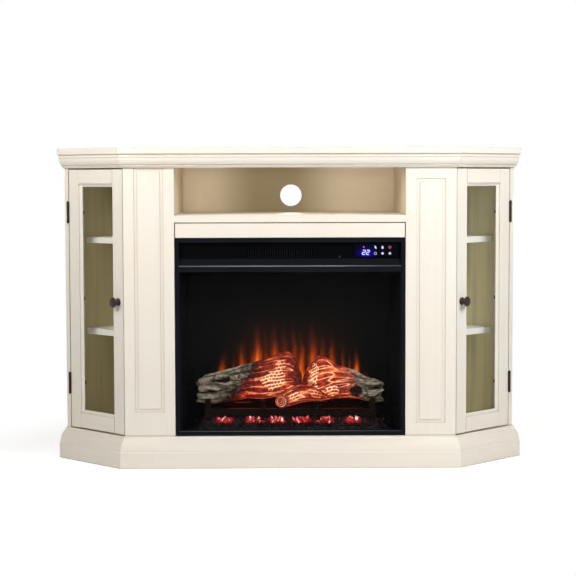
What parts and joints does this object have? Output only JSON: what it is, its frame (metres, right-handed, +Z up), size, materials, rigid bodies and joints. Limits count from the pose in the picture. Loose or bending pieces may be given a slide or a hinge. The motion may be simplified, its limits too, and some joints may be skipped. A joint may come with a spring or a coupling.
{
  "type": "corner fireplace cabinet",
  "caption": "Corner media cabinet with glazed angled side doors, an open media bay, moulded crown and base, and an electric log-fire insert with a fan heater.",
  "frame": {"origin": "middle of the bounding box, on the floor under the cabinet", "axes": "+X along the front to the viewer's right, +Y from the front to the back, +Z up"},
  "size_m": [1.2268, 0.433, 0.819],
  "materials": {
    "painted_wood": "satin antique ivory paint with a thin brown glaze in the grooves",
    "clear_glass": "clear and polished",
    "bronze": "oil-rubbed antique bronze",
    "black_steel": "fine matt black powder coat",
    "black_panel": "gloss black touch panel",
    "screen_plastic": "dark frosted screen that spreads the flame light",
    "log_resin": "cast resin with a painted bark and charred, glowing cracks",
    "ember_resin": "cast translucent resin coals",
    "cast_grate": "matt black",
    "bright_steel": "plated",
    "motor_steel": "plain zinc plate",
    "fan_metal": "plain rolled sheet",
    "element_ceramic": "unglazed ceramic with a metal rim",
    "board_laminate": "green solder-resist laminate",
    "black_plastic": "moulded"
  },
  "bodies": {
    "cabinet": {"top_board": "painted_wood", "bottom_board": "painted_wood", "side_panel_left": "painted_wood", "side_panel_right": "painted_wood", "divider_left": "painted_wood", "divider_right": "painted_wood", "back_panel": "painted_wood", "media_shelf": "painted_wood", "apron_rail": "painted_wood", "header_rails": "painted_wood", "base_rails": "painted_wood", "pilaster_left": "painted_wood", "pilaster_right": "painted_wood", "crown_front": "painted_wood", "crown_left": "painted_wood", "crown_right": "painted_wood", "plinth_front": "painted_wood", "plinth_left": "painted_wood", "plinth_right": "painted_wood", "side_shelves": "painted_wood", "shelf_pins": "bright_steel", "door_catches": "black_plastic", "hinge_frames": "bronze", "trim_frame": "black_steel", "control_fascia": "black_steel", "outlet_grille": "black_steel", "firebox_casing": "black_steel", "chamber_liner": "black_steel", "front_glass": "clear_glass", "flame_screen": "screen_plastic", "control_panel": "black_panel", "ember_bed": "ember_resin", "log_grate": "cast_grate", "left_log": "log_resin", "right_log": "log_resin", "front_log": "log_resin", "spindle_motor": "motor_steel", "circuit_boards": "board_laminate", "heater_duct": "black_steel", "heating_element": "element_ceramic", "blower_motor": "motor_steel", "cord_gland": "black_plastic"},
    "door_left": {"latch_stile_left": "painted_wood", "hinge_stile_left": "painted_wood", "top_rail_left": "painted_wood", "bottom_rail_left": "painted_wood", "glass_bead_left": "painted_wood", "door_glass_left": "clear_glass", "knob_left": "bronze", "hinge_leaves_left": "bronze"},
    "door_right": {"latch_stile_right": "painted_wood", "hinge_stile_right": "painted_wood", "top_rail_right": "painted_wood", "bottom_rail_right": "painted_wood", "glass_bead_right": "painted_wood", "door_glass_right": "clear_glass", "knob_right": "bronze", "hinge_leaves_right": "bronze"},
    "spindle": {"flame_spindle": "bright_steel"},
    "blower": {"blower_wheel": "fan_metal"}
  },
  "joints": [
    {"name": "door_left_hinge", "type": "hinge", "parent": "cabinet", "child": "door_left", "pos_m": [-0.58527, -0.03404, 0.424], "axis": [0, 0, -1], "range_deg": [0, 110]},
    {"name": "door_right_hinge", "type": "hinge", "parent": "cabinet", "child": "door_right", "pos_m": [0.58527, -0.03404, 0.424], "axis": [0, 0, 1], "range_deg": [0, 110]},
    {"name": "spindle_turn", "type": "hinge", "parent": "cabinet", "child": "spindle", "pos_m": [0, -0.0215, 0.176], "axis": [1, 0, 0], "continuous": true},
    {"name": "blower_turn", "type": "hinge", "parent": "cabinet", "child": "blower", "pos_m": [0, -0.0715, 0.5445], "axis": [1, 0, 0], "continuous": true}
  ]
}
